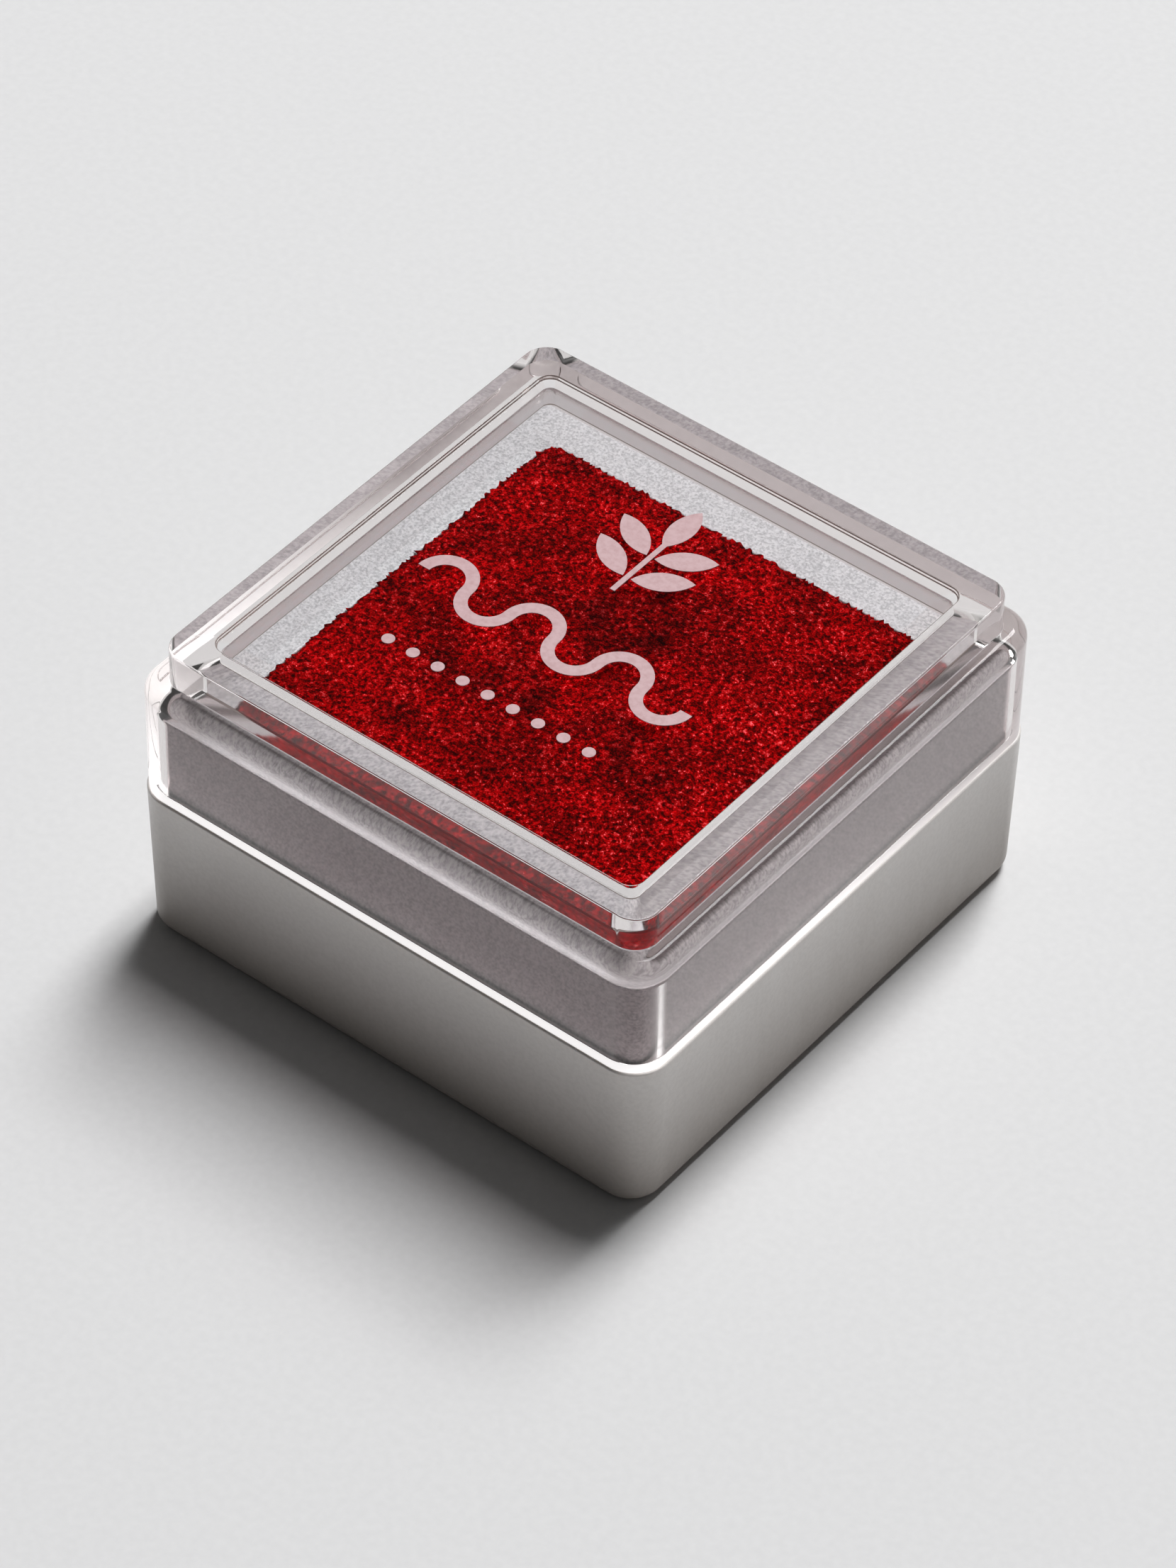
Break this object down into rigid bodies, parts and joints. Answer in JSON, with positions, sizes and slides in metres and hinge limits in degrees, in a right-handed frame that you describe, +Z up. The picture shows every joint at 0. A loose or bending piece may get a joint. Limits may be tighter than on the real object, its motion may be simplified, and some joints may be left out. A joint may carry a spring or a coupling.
{
  "type": "ink pad",
  "caption": "Small square stamping ink pad: a white base with a raised woven pad and a clear stepped lid that lifts straight off.",
  "frame": {"origin": "middle of the base's underside, on the surface that it stands on", "axes": "+Z up, the way the lid lifts off; the print on the lid reads along +X"},
  "size_m": [0.033, 0.033, 0.0191],
  "materials": {
    "white_base": "moulded, satin, slightly translucent",
    "white_platform": "moulded, matte",
    "glue": "tacky film",
    "foam": "ink-soaked foam",
    "pad_weave": "fine woven cover, wet with red ink",
    "clear_plastic": "clear polystyrene, polished",
    "print_ink": "pad-printed ink, pale",
    "label_paper": "coated paper"
  },
  "bodies": {
    "base": {"base_tub": "white_base", "pad_platform": "white_platform", "glue_sheet": "glue", "ink_foam": "foam", "pad_cover": "pad_weave", "colour_label": "label_paper"},
    "lid": {"clear_lid": "clear_plastic", "lid_print": "print_ink"}
  },
  "joints": [
    {"name": "lid_lift", "type": "slide", "parent": "base", "child": "lid", "axis": [0, 0, 1], "range_m": [0, 0.03]}
  ]
}
